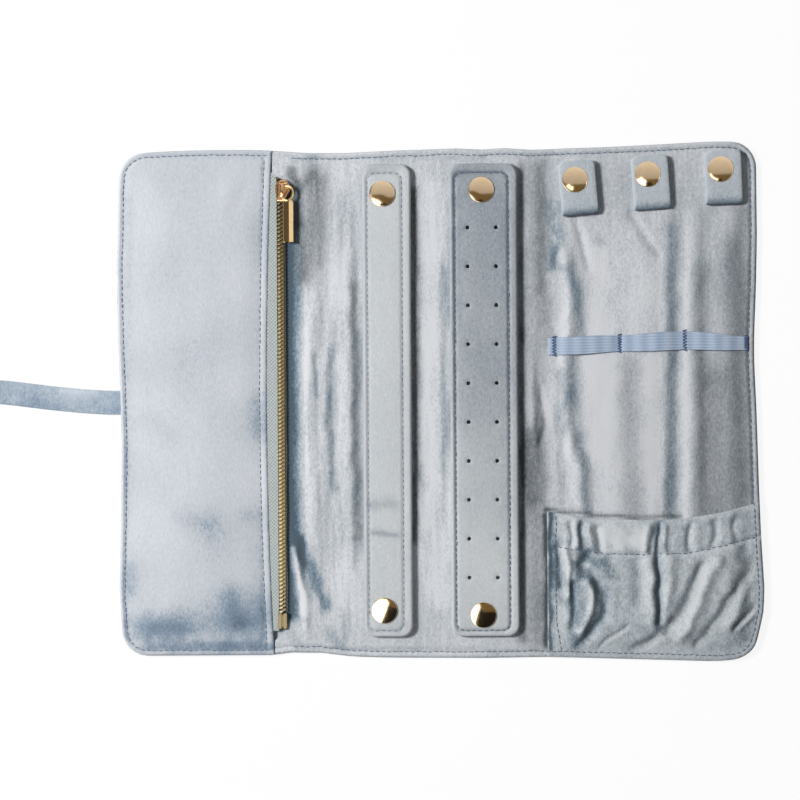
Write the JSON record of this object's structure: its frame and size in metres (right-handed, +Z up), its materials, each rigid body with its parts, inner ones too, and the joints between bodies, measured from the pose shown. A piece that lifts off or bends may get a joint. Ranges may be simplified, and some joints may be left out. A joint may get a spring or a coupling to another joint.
{
  "type": "jewelry roll",
  "caption": "Open velvet jewelry roll with a zip pocket, lift-up ring and earring bars, snap necklace tabs, elastic loops, a gathered pocket and a tie strap.",
  "frame": {"origin": "on the table, under the middle of the open roll without its tie strap", "axes": "+X along the open roll from the tie strap to the necklace tabs, +Y towards the tabs, +Z up"},
  "size_m": [0.4628, 0.2422, 0.0114],
  "materials": {
    "velvet": "brushed pile",
    "lining_velvet": "brushed pile",
    "foam": "matte",
    "zip_tape": "woven",
    "elastic": "ribbed",
    "thread": "satin",
    "zip_brass": "polished",
    "snap_gold": "polished"
  },
  "bodies": {
    "middle": {"middle_outer_shell": "velvet", "middle_padding": "foam", "middle_lining": "lining_velvet", "left_fold_strip": "velvet", "right_fold_strip": "velvet", "ring_bar_anchor": "velvet", "ring_rivet_cap": "snap_gold", "ring_rivet_back": "snap_gold", "ring_snap_stud": "snap_gold", "earring_bar_anchor": "velvet", "earring_rivet_cap": "snap_gold", "earring_rivet_back": "snap_gold", "earring_snap_stud": "snap_gold"},
    "left_flap": {"left_outer_shell": "velvet", "left_padding": "foam", "left_back_lining": "lining_velvet", "zip_pocket_front": "velvet", "zip_tape_left": "zip_tape", "zip_tape_right": "zip_tape", "zip_teeth_left": "zip_brass", "zip_teeth_right": "zip_brass", "zip_top_stop_left": "zip_brass", "zip_top_stop_right": "zip_brass", "zip_bottom_stop": "zip_brass", "tie_strap": "velvet", "tie_hank": "velvet", "tie_keeper": "elastic"},
    "right_panel": {"right_outer_shell": "velvet", "right_padding": "foam", "right_lining": "lining_velvet", "elastic_band": "elastic", "elastic_tack_1": "thread", "elastic_tack_2": "thread", "elastic_tack_3": "thread", "elastic_tack_4": "thread", "gathered_pocket": "velvet", "pocket_mouth_elastic": "elastic", "necklace_tab_1_base": "velvet", "necklace_tab_1_stud": "snap_gold", "necklace_tab_2_base": "velvet", "necklace_tab_2_stud": "snap_gold", "necklace_tab_3_base": "velvet", "necklace_tab_3_stud": "snap_gold"},
    "zip_slider_body": {"zip_slider": "zip_brass"},
    "zip_pull_body": {"zip_pull": "zip_brass"},
    "ring_bar_body": {"ring_bar": "velvet", "ring_snap_cap": "snap_gold", "ring_snap_socket": "snap_gold"},
    "earring_bar_body": {"earring_bar": "velvet", "earring_snap_cap": "snap_gold", "earring_snap_socket": "snap_gold"},
    "necklace_tab_1": {"necklace_tab_1_strap": "velvet", "necklace_tab_1_cap": "snap_gold", "necklace_tab_1_socket": "snap_gold"},
    "necklace_tab_2": {"necklace_tab_2_strap": "velvet", "necklace_tab_2_cap": "snap_gold", "necklace_tab_2_socket": "snap_gold"},
    "necklace_tab_3": {"necklace_tab_3_strap": "velvet", "necklace_tab_3_cap": "snap_gold", "necklace_tab_3_socket": "snap_gold"}
  },
  "joints": [
    {"name": "left_fold", "type": "hinge", "parent": "middle", "child": "left_flap", "pos_m": [-0.071, 0, 0.0161], "axis": [0, 1, 0], "range_deg": [0, 179.5], "deforming": ["left_fold_strip", "zip_tape_right"]},
    {"name": "right_fold", "type": "hinge", "parent": "middle", "child": "right_panel", "pos_m": [0.04325, 0, 0.01175], "axis": [0, -1, 0], "range_deg": [0, 179.8], "deforming": ["right_fold_strip"]},
    {"name": "ring_bar_lift", "type": "hinge", "parent": "middle", "child": "ring_bar_body", "pos_m": [-0.0249, -0.09, 0.0098], "axis": [-1, 0, 0], "range_deg": [-150, 0]},
    {"name": "earring_bar_lift", "type": "hinge", "parent": "middle", "child": "earring_bar_body", "pos_m": [0.0214, -0.09, 0.0098], "axis": [-1, 0, 0], "range_deg": [-150, 0]},
    {"name": "necklace_tab_1_open", "type": "hinge", "parent": "right_panel", "child": "necklace_tab_1", "pos_m": [0.0653, 0.0874, 0.0066], "axis": [-1, 0, 0], "range_deg": [-150, 0]},
    {"name": "necklace_tab_2_open", "type": "hinge", "parent": "right_panel", "child": "necklace_tab_2", "pos_m": [0.0993, 0.0897, 0.0066], "axis": [-1, 0, 0], "range_deg": [-150, 0]},
    {"name": "necklace_tab_3_open", "type": "hinge", "parent": "right_panel", "child": "necklace_tab_3", "pos_m": [0.1333, 0.0919, 0.0066], "axis": [-1, 0, 0], "range_deg": [-150, 0]},
    {"name": "zip_slide", "type": "slide", "parent": "left_flap", "child": "zip_slider_body", "axis": [0, 1, 0], "range_m": [-0.1925, 0], "deforming": ["zip_teeth_left", "zip_teeth_right"]},
    {"name": "zip_pull_swing", "type": "hinge", "parent": "zip_slider_body", "child": "zip_pull_body", "pos_m": [-0.0742, 0.1, 0.00783], "axis": [1, 0, 0], "range_deg": [-150, 0]}
  ]
}
